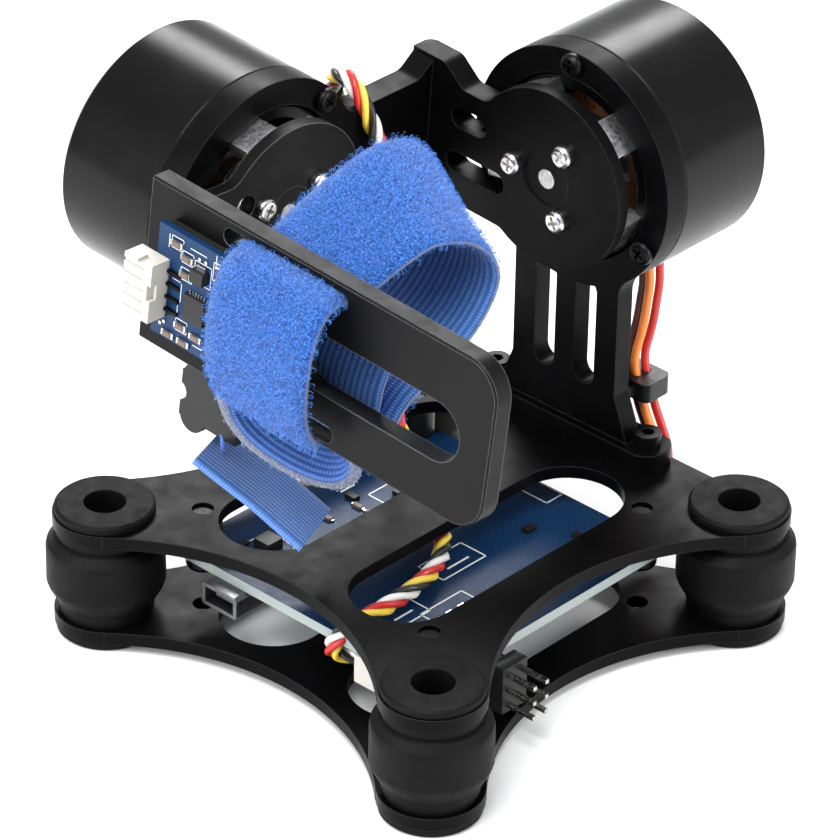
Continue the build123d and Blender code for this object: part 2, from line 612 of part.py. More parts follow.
HEADER_X = (-12.4, -12.4 + PIN_PITCH)
HEADER_ROWS = [BOARD_LOW - PIN_PITCH * (i + 0.5) for i in range(3)]
header_low = HEADER_ROWS[-1] - PIN_PITCH / 2
header = box_between((HEADER_X[0] - 1.27, -28.6, header_low), (HEADER_X[1] + 1.27, -26.0, BOARD_LOW))
pins = []
for x in HEADER_X:
    for row in HEADER_ROWS:
        header -= box_between((x - 0.34, -28.7, row - 0.34), (x + 0.34, -25.9, row + 0.34))
        pins.append(box_between((x - 0.32, -33.6, row - 0.32), (x + 0.32, -24.4, row + 0.32)))
nodes["servo_header"] = header
nodes["servo_pins"] = group(pins)

cable_socket = box_between((-25.4, -19.6, BOARD_LOW - 4.6), (-18.6, -10.8, BOARD_LOW))
power_socket = box_between((19.0, -5.0, BOARD_LOW - 5.4), (25.6, 5.0, BOARD_LOW))
lead_socket = box_between((17.0, -19.6, BOARD_LOW - 5.4), (24.4, -10.8, BOARD_LOW))
power_socket -= box_between((21.0, -4.2, BOARD_LOW - 4.7), (25.7, 4.2, BOARD_LOW - 0.8))
nodes["cable_socket"] = cable_socket
nodes["power_socket"] = power_socket
nodes["lead_socket"] = lead_socket


# ---------------------------------------------------------------- wiring
def lead(points, diameter, most=12.0):
    """A round lead along straight runs joined by arcs."""
    path = FilletPolyline(*points, radius=corner_radii(points, most))
    start = Plane(origin=points[0], z_dir=Vector(*points[1]) - Vector(*points[0]))
    return sweep(start * Circle(diameter / 2), path=path)


WIRE_D = 1.3
LEAD_EXIT = (41.4, -6.0)
ROLL_LEAD_DROP = [
    (41.4, -6.0, ROLL_Z - 15.2), (41.4, -6.4, ROLL_Z - 22.0), (40.0, -6.6, ROLL_Z - 28.6),
    (37.6, -7.0, TOP_Z + 11.8), (37.4, -10.0, TOP_Z + 4.6), (38.2, -13.2, TOP_Z - 3.6),
]
ROLL_LEAD_RUN = [(34.6, -14.2, BOARD_LOW - 1.2), (29.6, -15.2, BOARD_LOW - 2.2), (24.5, -15.2, BOARD_LOW - 2.2)]
ROLL_LEAD_SPREAD = {"orange": (0.0, 0.0), "red": (1.9, -0.3), "brown": (0.4, 1.6)}
for colour, (dx, dy) in ROLL_LEAD_SPREAD.items():
    route = [(x + dx, y + dy, z) for x, y, z in ROLL_LEAD_DROP]
    route += [(x, y + dy, z - dx) for x, y, z in ROLL_LEAD_RUN]
    nodes["roll_lead_" + colour] = lead(route, WIRE_D)
exit_hole = Pos(LEAD_EXIT[0] + 0.8, LEAD_EXIT[1] + 0.5, ROLL_Z - 20) * rod(2.3, 0, 8)
nodes["roll_cup"] = nodes["roll_cup"] - exit_hole

tie_body = box_between((35.6, -11.6, TOP_Z + 7.0), (41.2, -4.6, TOP_Z + 10.0))
tie_body = fillet(tie_body.edges().filter_by(Axis.Z), 1.2)
for dx, dy in ROLL_LEAD_SPREAD.values():
    tie_body -= lead([(x + dx, y + dy, z) for x, y, z in ROLL_LEAD_DROP], WIRE_D + 0.1)
tie_body = tie_body + box_between((33.2, -9.4, TOP_Z + 7.8), (35.6, -6.4, TOP_Z + 9.2))
nodes["lead_tie"] = tie_body


# ---------------------------------------------------------------- plug for the sensor cable's upper end
def cable_plug():
    behind = PITCH_DISC_Y + RING_FRONT + RING_T
    plug = box_between((11.0, behind, ROLL_Z - 3.4), (17.6, behind + 4.4, ROLL_Z + 2.8))
    return chamfer(plug.edges().filter_by(Axis.Y), 0.5)


nodes["sensor_cable_clip"] = arm_pose(cable_plug())

for name, shape in nodes.items():
    assert shape.is_valid, name

if __name__ == "__main__":
    os.makedirs("parts", exist_ok=True)
    for name, shape in nodes.items():
        export_step(shape, "parts/" + name + ".step")
    print(len(nodes), "sub-parts written")
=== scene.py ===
import json
import math
import random

import bmesh
import bpy
from mathutils import Matrix, Vector


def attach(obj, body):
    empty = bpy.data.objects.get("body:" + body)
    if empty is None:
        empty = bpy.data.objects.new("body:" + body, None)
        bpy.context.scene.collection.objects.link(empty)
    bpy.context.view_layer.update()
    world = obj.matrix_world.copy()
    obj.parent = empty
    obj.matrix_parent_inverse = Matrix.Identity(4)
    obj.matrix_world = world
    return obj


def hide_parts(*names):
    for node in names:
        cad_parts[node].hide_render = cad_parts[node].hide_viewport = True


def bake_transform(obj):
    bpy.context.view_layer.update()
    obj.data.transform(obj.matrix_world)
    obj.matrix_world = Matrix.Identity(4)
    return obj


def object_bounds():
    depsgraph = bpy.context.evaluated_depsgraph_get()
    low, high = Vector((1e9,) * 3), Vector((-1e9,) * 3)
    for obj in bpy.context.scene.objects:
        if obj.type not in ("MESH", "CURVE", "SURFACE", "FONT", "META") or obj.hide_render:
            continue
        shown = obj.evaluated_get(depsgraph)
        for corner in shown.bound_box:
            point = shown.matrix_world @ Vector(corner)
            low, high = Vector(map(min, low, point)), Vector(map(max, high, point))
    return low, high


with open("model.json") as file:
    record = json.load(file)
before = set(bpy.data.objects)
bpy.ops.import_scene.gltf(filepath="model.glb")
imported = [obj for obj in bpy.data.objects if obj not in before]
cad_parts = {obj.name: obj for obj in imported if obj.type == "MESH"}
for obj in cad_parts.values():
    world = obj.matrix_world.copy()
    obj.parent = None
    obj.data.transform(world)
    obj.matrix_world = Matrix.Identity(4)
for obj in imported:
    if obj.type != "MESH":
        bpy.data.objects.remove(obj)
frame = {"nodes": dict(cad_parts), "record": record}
CAD_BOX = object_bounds()

MM = 0.001
ROLL_REST = math.radians(3.8)
TRAY_REST = math.radians(3.6)
ROLL_AXIS_Z = 63.2
PITCH_AXIS_X = -10.0


def mm(*p):
    """A point given in millimetres, in metres."""
    return Vector(p) * MM


def arm_space(p):
    """A point of the level arm, in millimetres, where the rest roll puts it."""
    pivot = Vector((0, 0, ROLL_AXIS_Z))
    return Matrix.Rotation(ROLL_REST, 3, "X") @ (Vector(p) - pivot) + pivot


def tray_space(p):
    """A point measured from the pitch axis on the upright tray, in millimetres, at rest."""
    tilted = Matrix.Rotation(TRAY_REST, 3, "Y") @ Vector(p)
    return arm_space(tilted + Vector((PITCH_AXIS_X, 0, ROLL_AXIS_Z)))


# ------------------------------------------------------------------ materials
class Nodes:
    """A material's node tree, with short calls for the nodes used here."""

    def __init__(self, name, **values):
        self.mat = bpy.data.materials.new(name)
        self.mat.use_nodes = True
        self.tree = self.mat.node_tree
        self.shader = self.tree.nodes["Principled BSDF"]
        for socket, value in values.items():
            self.shader.inputs[socket.replace("_", " ")].default_value = value

    def new(self, kind, **settings):
        node = self.tree.nodes.new(kind)
        for key, value in settings.items():
            setattr(node, key, value)
        return node

    def link(self, source, target):
        self.tree.links.new(source, target)

    def coords(self, kind="Object", stretch=(1, 1, 1), turn=(0, 0, 0)):
        mapping = self.new("ShaderNodeMapping")
        mapping.inputs["Scale"].default_value = stretch
        mapping.inputs["Rotation"].default_value = turn
        self.link(self.new("ShaderNodeTexCoord").outputs[kind], mapping.inputs["Vector"])
        return mapping.outputs["Vector"]

    def noise(self, scale, detail=3.0, rough=0.6, vector=None):
        node = self.new("ShaderNodeTexNoise")
        node.inputs["Scale"].default_value = scale
        node.inputs["Detail"].default_value = detail
        node.inputs["Roughness"].default_value = rough
        self.link(vector or self.coords(), node.inputs["Vector"])
        return node.outputs["Fac"]

    def wave(self, scale, vector, axis="X", distortion=0.0):
        node = self.new("ShaderNodeTexWave", bands_direction=axis)
        node.inputs["Scale"].default_value = scale
        node.inputs["Distortion"].default_value = distortion
        node.inputs["Detail"].default_value = 1.0
        self.link(vector, node.inputs["Vector"])
        return node.outputs["Fac"]

    def math(self, operation, a, b):
        node = self.new("ShaderNodeMath", operation=operation)
        for socket, value in zip(node.inputs, (a, b)):
            if isinstance(value, (int, float)):
                socket.default_value = value
            else:
                self.link(value, socket)
        return node.outputs["Value"]

    def ramp(self, fac, *stops):
        node = self.new("ShaderNodeValToRGB")
        elements = node.color_ramp.elements
        while len(elements) < len(stops):
            elements.new(0.5)
        for element, (position, colour) in zip(elements, stops):
            element.position = position
            element.color = (*colour, 1)
        self.link(fac, node.inputs["Fac"])
        return node.outputs["Color"]

    def span(self, fac, low, high):
        """The factor's 0.3 to 0.7 stretched to run from low to high."""
        node = self.new("ShaderNodeMapRange")
        for socket, value in zip(("From Min", "From Max", "To Min", "To Max"), (0.3, 0.7, low, high)):
            node.inputs[socket].default_value = value
        self.link(fac, node.inputs["Value"])
        return node.outputs["Result"]

    def mix(self, fac, a, b):
        node = self.new("ShaderNodeMix", data_type="RGBA")
        self.link(fac, node.inputs["Factor"])
        for name, value in (("A", a), ("B", b)):
            socket = [s for s in node.inputs if s.name == name and s.type == "RGBA"][0]
            if isinstance(value, tuple):
                socket.default_value = (*value, 1)
            else:
                self.link(value, socket)
        return [s for s in node.outputs if s.type == "RGBA"][0]

    def edge(self, radius_mm, gain):
        """1 along sharp edges, 0 on flats."""
        bevel = self.new("ShaderNodeBevel", samples=4)
        bevel.inputs["Radius"].default_value = radius_mm * MM
        dot = self.new("ShaderNodeVectorMath", operation="DOT_PRODUCT")
        self.link(bevel.outputs["Normal"], dot.inputs[0])
        self.link(self.new("ShaderNodeNewGeometry").outputs["Normal"], dot.inputs[1])
        amount = self.math("SUBTRACT", 1.0, dot.outputs["Value"])
        node = self.new("ShaderNodeMath", operation="MULTIPLY", use_clamp=True)
        self.link(amount, node.inputs[0])
        node.inputs[1].default_value = gain
        return node.outputs["Value"]

    def bump(self, *layers, rounded=0.0):
        """Bump layers of (height, strength, depth in mm), on an edge rounded by that many mm."""
        normal = None
        if rounded:
            bevel = self.new("ShaderNodeBevel", samples=4)
            bevel.inputs["Radius"].default_value = rounded * MM
            normal = bevel.outputs["Normal"]
        for height, strength, depth in layers:
            node = self.new("ShaderNodeBump")
            node.inputs["Strength"].default_value = strength
            node.inputs["Distance"].default_value = depth * MM
            self.link(height, node.inputs["Height"])
            if normal is not None:
                self.link(normal, node.inputs["Normal"])
            normal = node.outputs["Normal"]
        self.link(normal, self.shader.inputs["Normal"])

    def colour(self, socket):
        self.link(socket, self.shader.inputs["Base Color"])

    def rough(self, socket):
        self.link(socket, self.shader.inputs["Roughness"])


def anodised(name, base, edge_highlight, rough, gloss, grain=3800, edge_radius=0.22):
    """Black anodised aluminium: fine blasted grain, faint clouding, and sharp edges painted brighter as an
    edge highlight.
    """
    n = Nodes(name, Specular_IOR_Level=gloss)
    clouds = n.noise(60, 4)
    fine = n.noise(grain, 2, 0.7)
    tone = n.ramp(clouds, (0.3, base), (0.75, tuple(c * 1.3 for c in base)))
    # painted highlight: the edge mask lifts sharp edges from the tone to the edge highlight colour
    n.colour(n.mix(n.edge(edge_radius, 2.2), tone, edge_highlight))
    n.rough(n.span(n.noise(240, 4), rough - 0.06, rough + 0.1))
    n.bump((fine, 0.22, 0.02), rounded=edge_radius)
    return n.mat


def turned(name, base, edge_highlight, rough, axis):
    """Turned and anodised housing: smooth, with faint lathe lines round the motor's axis, and sharp edges
    painted brighter as an edge highlight.
    """
    n = Nodes(name, Specular_IOR_Level=0.17)
    stretch = (6000, 220, 220) if axis == "X" else (220, 6000, 220)
    lines = n.noise(1.0, 2, 0.5, n.coords(stretch=stretch))
    tone = n.ramp(n.noise(45, 4), (0.3, base), (0.75, tuple(c * 1.4 for c in base)))
    # painted highlight: sharp edges lifted from the tone to the edge highlight colour
    n.colour(n.mix(n.edge(0.3, 1.6), tone, edge_highlight))
    n.rough(n.span(n.noise(130, 3), rough - 0.02, rough + 0.05))
    n.bump((lines, 0.04, 0.008), rounded=0.3)
    return n.mat


def moulded(name, base, rough, grain=2600, depth=0.03, edge=0.15, spread=1.35, gloss=0.5):
    """Moulded plastic or rubber with a fine grain and slight colour drift."""
    n = Nodes(name, Specular_IOR_Level=gloss)
    tone = n.ramp(n.noise(180, 4), (0.3, base), (0.75, tuple(min(1, c * spread) for c in base)))
    n.colour(tone)
    n.rough(n.span(n.noise(420, 3), rough - 0.06, rough + 0.08))
    n.bump((n.noise(grain, 2, 0.6), 0.3, depth), rounded=edge)
    return n.mat


def bright_steel(name, base, rough, lines=0.0):
    """Plated or ground steel with fine wear marks."""
    n = Nodes(name, Metallic=1.0)
    n.colour(n.ramp(n.noise(900, 4), (0.3, tuple(c * 0.72 for c in base)), (0.7, base)))
    n.rough(n.span(n.noise(1600, 3), rough - 0.05, rough + 0.12))
    marks = n.noise(1.0, 3, 0.6, n.coords(stretch=(5200, 1100, 1100)))
    n.bump((marks, 0.15 + lines, 0.02), rounded=0.12)
    return n.mat


def solder_mask(name, track_scale, edge_below):
    """Blue circuit board: lacquer over faint copper tracks. Faces whose normal's Z is under
    edge_below show bare laminate."""
    n = Nodes(name, Coat_Weight=0.05, Coat_Roughness=0.3, Specular_IOR_Level=0.22)
    cells = n.new("ShaderNodeTexBrick", offset=0.37, squash=0.6, squash_frequency=3)
    cells.inputs["Scale"].default_value = track_scale
    cells.inputs["Mortar Size"].default_value = 0.06
    n.link(n.coords(turn=(0.3, 0.5, 0.0)), cells.inputs["Vector"])
    track = cells.outputs["Fac"]
    base = n.ramp(n.noise(90, 3), (0.3, (0.001, 0.012, 0.045)), (0.7, (0.002, 0.02, 0.07)))
    facing = n.new("ShaderNodeSeparateXYZ")
    n.link(n.new("ShaderNodeNewGeometry").outputs["True Normal"], facing.inputs["Vector"])
    cut_edge = n.math("LESS_THAN", n.math("ABSOLUTE", facing.outputs["Z"], 0.0), edge_below)
    lacquer = n.mix(track, base, (0.003, 0.033, 0.1))
    n.colour(n.mix(cut_edge, lacquer, (0.3, 0.34, 0.33)))
    n.rough(n.span(n.noise(500, 3), 0.38, 0.5))
    n.bump((track, 0.2, 0.02), (n.noise(2400, 2), 0.1, 0.01))
    return n.mat


def coil_wire(name):
    """Enamelled copper turns laid side by side."""
    n = Nodes(name, Metallic=0.85, Coat_Weight=0.5)
    turns = n.wave(2600, n.coords(), "DIAGONAL", 0.5)
    n.colour(n.ramp(turns, (0.0, (0.22, 0.06, 0.015)), (1.0, (0.9, 0.42, 0.16))))
    n.rough(n.span(n.noise(900, 2), 0.25, 0.4))
    n.bump((turns, 0.8, 0.1))
    return n.mat


def loop_pile(name):
    """The strap's looped face: a mat of curled fibres, painted darker down in the hollows as shade and
    lighter on the fibre tops as highlight.
    """
    n = Nodes(name, Sheen_Weight=0.25, Sheen_Roughness=0.4, Roughness=0.88, Specular_IOR_Level=0.25)
    curls = n.noise(3000, 5, 0.8)
    knots = n.new("ShaderNodeTexVoronoi", feature="DISTANCE_TO_EDGE")
    knots.inputs["Scale"].default_value = 1900
    n.link(n.coords(), knots.inputs["Vector"])
    height = n.math("ADD", curls, n.math("MULTIPLY", knots.outputs["Distance"], 0.6))
    # painted shade and painted highlight: colour keyed to pile height, darkest in the hollows, brightest on
    # the tops
    pile_shade_and_highlight = n.ramp(n.math("MULTIPLY", height, 0.85), (0.34, (0.002, 0.016, 0.09)), (0.5, (0.01, 0.075, 0.34)),
                  (0.66, (0.07, 0.27, 0.78)))
    n.colour(n.mix(n.span(n.noise(110, 3), 0.0, 0.3), pile_shade_and_highlight, (0.016, 0.095, 0.38)))
    n.bump((height, 1.0, 0.35))
    return n.mat


def woven(name, dark, light, rib_pitch=1.05, pick_pitch=0.42):
    """Ribbed webbing: ribs along the length, with picks across them. UV is in millimetres."""
    n = Nodes(name, Sheen_Weight=0.15, Roughness=0.7, Specular_IOR_Level=0.3)
    uv = n.coords("UV")
    # a sine wave texture repeats every 2 pi / 20 of its coordinate at scale 1
    repeat = math.pi / 10
    ribs = n.wave(repeat / rib_pitch, uv, "Y")
    picks = n.wave(repeat / pick_pitch, uv, "X", 0.4)
    weave = n.math("MULTIPLY", ribs, n.math("ADD", 0.45, n.math("MULTIPLY", picks, 0.55)))
    fibre = n.noise(2.2, 4, 0.7, n.coords("UV", (1, 6, 1)))
    n.colour(n.ramp(n.math("ADD", n.math("MULTIPLY", weave, 0.8), n.math("MULTIPLY", fibre, 0.25)),
                    (0.1, dark), (0.9, light)))
    n.bump((weave, 0.9, 0.22), (fibre, 0.4, 0.06))
    return n.mat


def insulation(name, base):
    """Silicone lead with a soft gloss and faint marks."""
    n = Nodes(name, Coat_Weight=0.15)
    n.colour(n.ramp(n.noise(300, 4), (0.3, tuple(c * 0.8 for c in base)), (0.7, base)))
    n.rough(n.span(n.noise(700, 3), 0.34, 0.5))
    n.bump((n.noise(1800, 2), 0.18, 0.03))
    return n.mat


BLACK = (0.0014, 0.0014, 0.0016)
M = {
    # the second colour of each anodised and turned material is its painted edge highlight
    "black_metal": anodised("black_metal", BLACK, (0.04, 0.04, 0.042), 0.36, 0.07),
    "tray_metal": anodised("tray_metal", (0.0028, 0.0028, 0.0031), (0.26, 0.26, 0.27), 0.4, 0.11, 3000, 0.26),
    "roll_housing": turned("roll_housing", (0.0013, 0.0013, 0.0015), (0.03, 0.03, 0.03), 0.24, "X"),
    "pitch_housing": turned("pitch_housing", (0.0013, 0.0013, 0.0015), (0.03, 0.03, 0.03), 0.24, "Y"),
    "rubber": moulded("rubber", (0.0022, 0.0022, 0.0024), 0.55, 1500, 0.07, edge=0.3, spread=1.7, gloss=0.1),
    "screw_steel": bright_steel("screw_steel", (0.82, 0.8, 0.78), 0.2),
    "shaft_steel": bright_steel("shaft_steel", (0.5, 0.5, 0.52), 0.26, 0.1),
    "black_steel": bright_steel("black_steel", (0.02, 0.02, 0.021), 0.34),
    "stator_iron": bright_steel("stator_iron", (0.28, 0.28, 0.29), 0.4, 0.3),
    "magnet": bright_steel("magnet", (0.6, 0.6, 0.62), 0.22),
    "alloy": bright_steel("alloy", (0.84, 0.84, 0.86), 0.3, 0.1),
    "nickel": bright_steel("nickel", (0.2, 0.2, 0.21), 0.34, 0.05),
    "gold_pin": bright_steel("gold_pin", (0.62, 0.6, 0.56), 0.2),
    "copper": coil_wire("copper"),
    "pcb": solder_mask("pcb", 420, 0.3),
    "sensor_pcb": solder_mask("sensor_pcb", 900, -1.0),
    "chip": moulded("chip", (0.007, 0.007, 0.0075), 0.4, 3000, 0.02, gloss=0.3),
    "ceramic": moulded("ceramic", (0.1, 0.075, 0.06), 0.5),
    "white_plastic": moulded("white_plastic", (0.5, 0.475, 0.43), 0.42, 1800, 0.03, edge=0.2, spread=1.1),
    "black_plastic": moulded("black_plastic", (0.006, 0.006, 0.0065), 0.34, 2000, 0.04, edge=0.2, gloss=0.3),
    "foam": moulded("foam", (0.01, 0.01, 0.01), 0.85, 1200, 0.2, gloss=0.2),
    "legend": moulded("legend", (0.8, 0.82, 0.84), 0.55, 1800, 0.02, spread=1.1),
    "wire_orange": insulation("wire_orange", (0.86, 0.22, 0.02)),
    "wire_red": insulation("wire_red", (0.55, 0.015, 0.012)),
    "wire_brown": insulation("wire_brown", (0.13, 0.02, 0.012)),
    "wire_yellow": insulation("wire_yellow", (0.86, 0.62, 0.06)),
    "wire_white": insulation("wire_white", (0.82, 0.8, 0.76)),
    "wire_black": insulation("wire_black", (0.012, 0.012, 0.012)),
    "loop_pile": loop_pile("loop_pile"),
    "strap_weave": woven("strap_weave", (0.01, 0.055, 0.22), (0.075, 0.2, 0.5)),
    "tail_weave": woven("tail_weave", (0.018, 0.07, 0.3), (0.11, 0.24, 0.62), 0.95),
    "hook_weave": woven("hook_weave", (0.02, 0.08, 0.36), (0.15, 0.32, 0.78), 0.9, 0.9),
    "strap_edge": woven("strap_edge", (0.1, 0.12, 0.2), (0.34, 0.37, 0.46), 0.6, 0.5),
    "fibre": insulation("fibre", (0.05, 0.22, 0.7)),
    "grey_fibre": insulation("grey_fibre", (0.4, 0.42, 0.5)),
}
NODE_MATERIAL = {
    "camera_tray": "tray_metal",
    "sensor_board": "sensor_pcb",
    "usb_port": "nickel",
    "sensor_pins": "black_steel",
    "roll_cup": "roll_housing", "roll_bell": "roll_housing",
    "pitch_cup": "pitch_housing", "pitch_bell": "pitch_housing",
    "board_spacers": "black_plastic",
    "camera_strap": "loop_pile", "strap_tail": "loop_pile",
}
SLOT_OF = {s["node"]: s["material_slot"] for s in frame["record"]["subparts"]}


for name, obj in frame["nodes"].items():
    obj.data.materials.clear()
    obj.data.materials.append(M[NODE_MATERIAL.get(name, SLOT_OF[name])])


# ------------------------------------------------------------------ mesh helpers
def finish_mesh(name, bm, materials, body, smooth=True):
    mesh = bpy.data.meshes.new(name)
    bm.normal_update()
    bm.to_mesh(mesh)
    bm.free()
    obj = bpy.data.objects.new(name, mesh)
    bpy.context.scene.collection.objects.link(obj)
    for key in materials:
        mesh.materials.append(M[key])
    mesh.polygons.foreach_set("use_smooth", [smooth] * len(mesh.polygons))
    if body:
        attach(obj, body)
    return obj


def smooth_line(points, per_run):
    """Catmull-Rom samples through vectors of any length, ends included."""
    ends = [2 * points[0] - points[1], *points, 2 * points[-1] - points[-2]]
    out = []
    for a, b, c, d in zip(ends, ends[1:], ends[2:], ends[3:]):
        for i in range(per_run):
            t = i / per_run
            out.append(0.5 * (2 * b + (c - a) * t + (2 * a - 5 * b + 4 * c - d) * t * t
                              + (3 * b - a - 3 * c + d) * t ** 3))
    return out + [points[-1].copy()]


ACROSS = 12


def ribbon(name, stations, width, thick, faces, body, per_run=8, ragged=0.0, crown=0.0, soft=0.65, seed=1):
    """A strap through stations of (centre, width direction), in millimetres.

    faces are the materials of the front, the back and the edge. The front looks
    along the run crossed with the width. UV runs in millimetres, length then width.
    """
    rng = random.Random(seed)
    centres = smooth_line([Vector(c) for c, w in stations], per_run)
    widths = smooth_line([Vector(w).normalized() for c, w in stations], per_run)
    bm = bmesh.new()
    uv = bm.loops.layers.uv.new("uv")
    rows, run = [], 0.0
    jag = [rng.uniform(-1, 1) * ragged for _ in range(ACROSS + 1)]
    for i, (c, w) in enumerate(zip(centres, widths)):
        before, after = centres[max(i - 1, 0)], centres[min(i + 1, len(centres) - 1)]
        along = (after - before).normalized()
        w = (w - along * w.dot(along)).normalized()
        normal = along.cross(w)
        if i:
            run += (c - centres[i - 1]).length
        ring = []
        for side in (1, -1):
            for j in range(ACROSS + 1):
                v = j / ACROSS if side > 0 else 1 - j / ACROSS
                s = 2 * v - 1
                round_off = 1.0 - soft * abs(s) ** 14
                p = c + w * (s * width / 2) + normal * (side * thick / 2 * round_off + crown * (1 - s * s))
                if i == 0 and ragged:
                    p += along * jag[round(v * ACROSS)]
                ring.append((bm.verts.new(p * MM), (run, v * width)))
        rows.append(ring)
    count = len(rows[0])
    for a, b in zip(rows, rows[1:]):
        for j in range(count):
            k = (j + 1) % count
            quad = [a[j], a[k], b[k], b[j]]
            face = bm.faces.new([v for v, _ in quad])
            edge = j in (ACROSS, count - 1)
            face.material_index = 2 if edge else (0 if j < ACROSS else 1)
            for loop, (_, st) in zip(face.loops, quad):
                loop[uv].uv = st
    for ring, flip in ((rows[0], False), (rows[-1], True)):
        half = ACROSS + 1
        for j in range(ACROSS):
            quad = [ring[j], ring[count - 1 - j], ring[count - 2 - j], ring[j + 1]]
            if flip:
                quad.reverse()
            face = bm.faces.new([v for v, _ in quad])
            face.material_index = 2
            for loop, (_, st) in zip(face.loops, quad):
                loop[uv].uv = st
    bmesh.ops.recalc_face_normals(bm, faces=bm.faces)
    obj = finish_mesh(name, bm, faces, body)
    return obj


BOX_ROUND = 0.05


def boxes(name, items, materials, body, place):
    """Many small parts in one mesh: (centre, size, material index) each, in millimetres."""
    bm = bmesh.new()
    for centre, size, index in items:
        made = bmesh.ops.create_cube(bm, size=1.0)["verts"]
        for v in made:
            v.co = Vector(v.co[k] * size[k] + centre[k] for k in range(3))
        for f in {f for v in made for f in v.link_faces}:
            f.material_index = index
    bmesh.ops.bevel(bm, geom=list(bm.edges), offset=BOX_ROUND, segments=1, affect="EDGES", clamp_overlap=True)
    for v in bm.verts:
        v.co = place(v.co) * MM
    return finish_mesh(name, bm, materials, body, smooth=False)


# ------------------------------------------------------------------ strap
STRAP_WIDTH = 19.0
STRAP_THICK = 1.7
LEVEL = (0, 1, 0)


def on_tray(stations):
    """Stations given from the pitch axis on the upright tray, where they are at rest."""
    origin = tray_space((0, 0, 0))
    return [(tray_space(c), tray_space(w) - origin) for c, w in stations]


band = on_tray([
    ((-27.2, -6.3, -11.6), LEVEL), ((-29.6, -6.3, -7.4), LEVEL), ((-30.4, -6.3, -1.6), LEVEL),
    ((-29.8, -6.0, 4.0), LEVEL), ((-27.8, -5.7, 8.0), LEVEL), ((-24.8, -5.4, 9.3), LEVEL),
    ((-20.2, -5.4, 9.5), LEVEL), ((-16.6, -6.0, 11.4), (0.05, 1, 0.05)),
    ((-12.6, -7.8, 15.0), (0.2, 0.95, 0.2)),
    ((-7.6, -9.4, 17.8), (0.3, 0.9, 0.3)), ((-2.4, -10.8, 17.4), (0.33, 0.88, 0.33)),
    ((0.8, -11.6, 13.2), (0.28, 0.92, 0.26)), ((0.9, -12.0, 7.6), (0.16, 0.96, 0.14)),
    ((-2.8, -12.0, 1.6), (0.06, 1, 0.04)), ((-9.0, -11.6, -3.2), LEVEL), ((-15.0, -11.4, -6.6), LEVEL),
    ((-18.0, -11.2, -11.6), LEVEL), ((-18.6, -11.0, -16.4), LEVEL),
])
strap = ribbon("strap_band", band, STRAP_WIDTH, STRAP_THICK, ("loop_pile", "strap_weave", "strap_edge"),
               "tray", per_run=8, ragged=0.9, crown=0.25, seed=3)
ribbon("strap_hook_end", on_tray([
    ((-13.4, -9.8, 5.2), LEVEL), ((-16.4, -9.9, 0.6), LEVEL), ((-18.4, -10.0, -3.6), LEVEL),
    ((-19.0, -10.0, -8.6), LEVEL),
]), 18.0, 0.9, ("hook_weave", "strap_weave", "strap_edge"), "tray", ragged=0.5, seed=5)
FOLD_ACROSS = (0.8, 0.3, 0.5)
fold_edge = [
    (-35.8, 3.6, 56.0), (-36.2, 3.0, 50.0), (-35.2, 0.2, 45.0), (-32.4, -4.6, 41.3), (-29.6, -9.0, 39.9),
    (-28.2, -11.8, 42.0), (-28.2, -12.6, 47.0),
]
FOLD_WIDTH = 12.0
half_fold = Vector(FOLD_ACROSS).normalized() * (FOLD_WIDTH / 2)
fold = ribbon("strap_fold", [(Vector(p) + half_fold, FOLD_ACROSS) for p in fold_edge], FOLD_WIDTH, 2.3,
              ("tail_weave", "loop_pile", "strap_edge"), "tray", soft=0.2)
tail_along = Vector((0.30, -0.79, -0.54)).normalized()
TAIL_ACROSS = (-0.82, -0.55, 0.17)
tail_middle = Vector((-27.7, 5.1, 32.7))
tail = ribbon("strap_cut_tail", [
    (tail_middle + tail_along * s + Vector((0, 0, -abs(s) * 0.04)), TAIL_ACROSS)
    for s in (-9.7, -4.5, 0, 4.5, 9.5)
], 16.6, 1.1, ("tail_weave", "strap_weave", "tail_weave"), "tray", soft=0.3)
ribbon("strap_link", [
    ((-26.4, 3.0, 47.0), (-0.1, 0.55, 0.83)), ((-26.8, 6.4, 44.0), (-0.1, 0.55, 0.83)),
    ((-27.8, 9.0, 41.0), (-0.3, 0.3, 0.83)), ((-29.6, 10.6, 37.8), TAIL_ACROSS),
], 6.0, 0.9, ("tail_weave", "strap_weave", "tail_weave"), "tray", soft=0.3)
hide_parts("camera_strap")
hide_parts("strap_tail")


FIBRE_HALF_WIDTH = 0.022
FIBRE_HALF_LEAN = 0.012


def fuzz(name, obj, count, material_index, length, seed, fibre="fibre"):
    """Curled fibres that stand out of one face of a strap."""
    rng = random.Random(seed)
    mesh = obj.data
    polys = [p for p in mesh.polygons if p.material_index == material_index]
    areas = [p.area for p in polys]
    bm = bmesh.new()
    for p in rng.choices(polys, weights=areas, k=count):
        corners = [mesh.vertices[i].co for i in p.vertices]
        a, b = rng.random(), rng.random()
        root = corners[0].lerp(corners[1], a).lerp(corners[3].lerp(corners[2], a), b)
        normal = p.normal
        drift = Vector((rng.uniform(-1, 1), rng.uniform(-1, 1), rng.uniform(-1, 1)))
        drift = (drift - normal * drift.dot(normal)).normalized()
        turn = normal.cross(drift)
        reach = length * rng.uniform(0.5, 1.25) * MM
        points = []
        for i in range(5):
            t = i / 4
            arch = math.sin(t * math.pi * 0.93)
            points.append(root + drift * (t * reach * 0.8) + normal * (arch * reach * 0.62)
                          + turn * (math.sin(t * 5) * reach * 0.18))
        half = turn * (FIBRE_HALF_WIDTH * MM) + normal * (FIBRE_HALF_LEAN * MM)
        pairs = [(bm.verts.new(q - half), bm.verts.new(q + half)) for q in points]
        for (u0, u1), (w0, w1) in zip(pairs, pairs[1:]):
            bm.faces.new((u0, u1, w1, w0))
    made = finish_mesh(name, bm, [fibre], "tray")
    return made


fuzz("strap_pile", strap, 15000, 0, 0.95, 11)
fuzz("strap_rim_pile", strap, 1500, 2, 1.1, 12)
fuzz("fold_pile", fold, 1500, 2, 0.5, 13, "grey_fibre")


